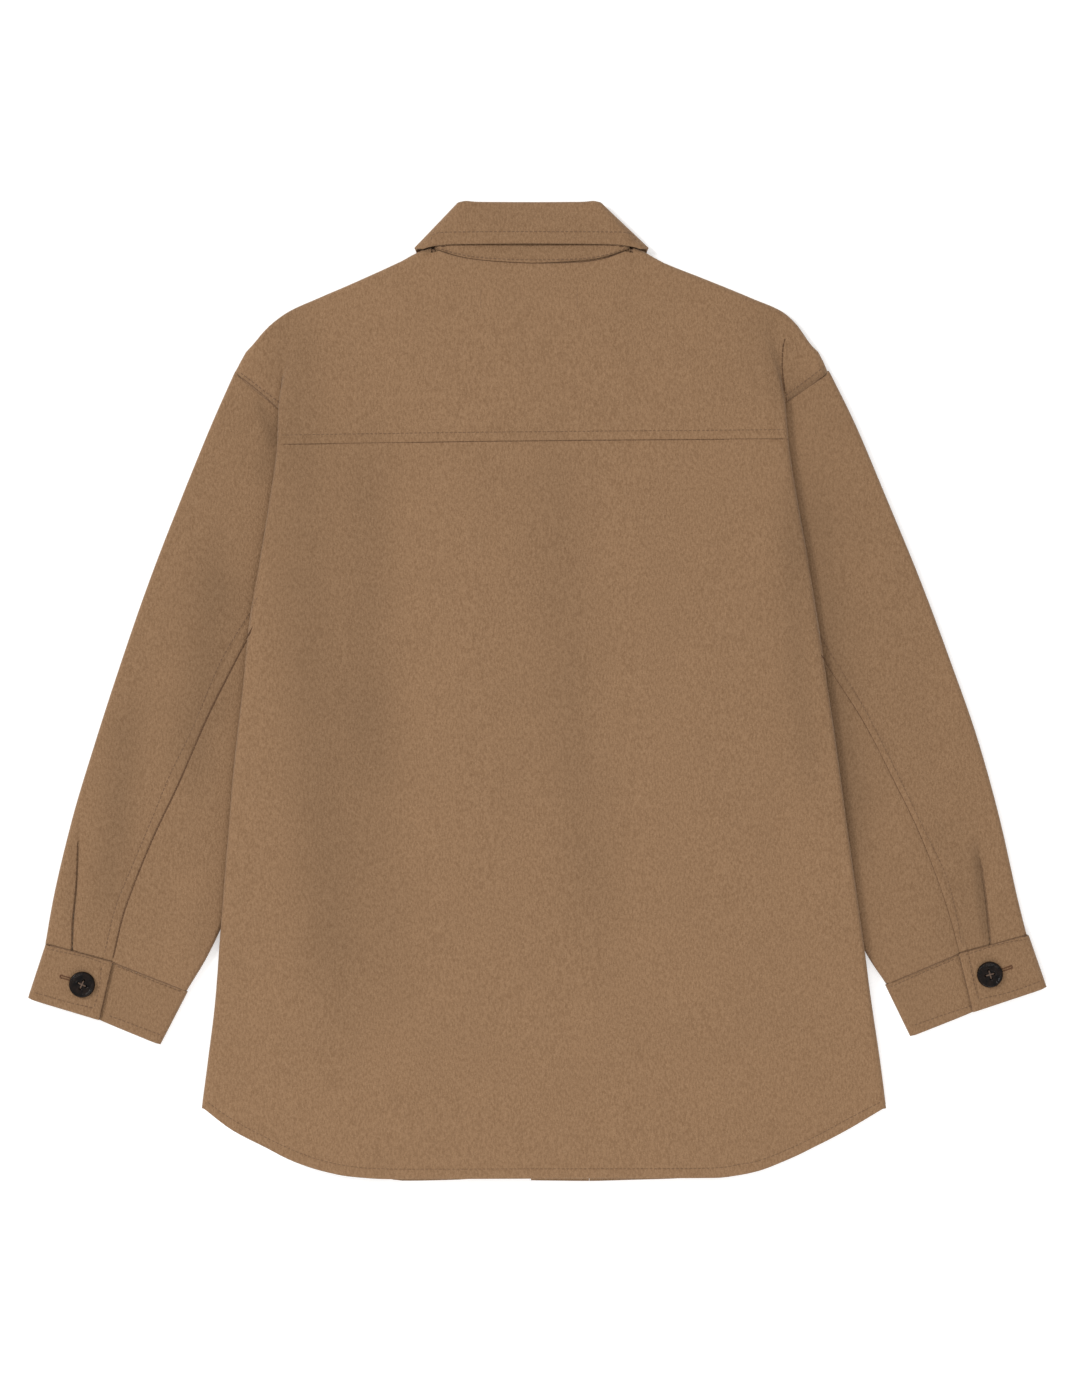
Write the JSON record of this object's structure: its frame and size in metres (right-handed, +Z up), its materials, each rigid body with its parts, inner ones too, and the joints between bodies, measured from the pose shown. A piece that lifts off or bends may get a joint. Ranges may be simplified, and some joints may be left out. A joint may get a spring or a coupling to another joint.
{
  "type": "shacket",
  "caption": "Felted wool-look shirt jacket laid flat and face down, back up, with a turn-down collar, back yoke, buttoned front, two-piece sleeves and buttoned cuffs.",
  "frame": {"origin": "centre of the garment's outline, on the surface that it lies on", "axes": "+X towards the wearer's right sleeve, +Y towards the collar, +Z up, out of the back"},
  "size_m": [0.8357, 0.8049, 0.015],
  "materials": {
    "wool_cloth": "matt felted cloth, camel brown, fine heathered grain",
    "button": "dark horn-look, polished, with a thin rim"
  },
  "bodies": {
    "root": {"back_yoke": "wool_cloth", "back_panel": "wool_cloth", "front_left": "wool_cloth", "front_right": "wool_cloth", "placket_left": "wool_cloth", "placket_right": "wool_cloth", "sleeve_left_upper": "wool_cloth", "sleeve_left_under": "wool_cloth", "sleeve_right_upper": "wool_cloth", "sleeve_right_under": "wool_cloth", "cuff_left": "wool_cloth", "cuff_right": "wool_cloth", "collar_stand": "wool_cloth", "collar_fall": "wool_cloth", "cuff_button_left": "button", "cuff_button_right": "button", "front_button_1": "button", "front_button_2": "button", "front_button_3": "button", "front_button_4": "button", "front_button_5": "button", "front_button_6": "button"}
  },
  "joints": []
}
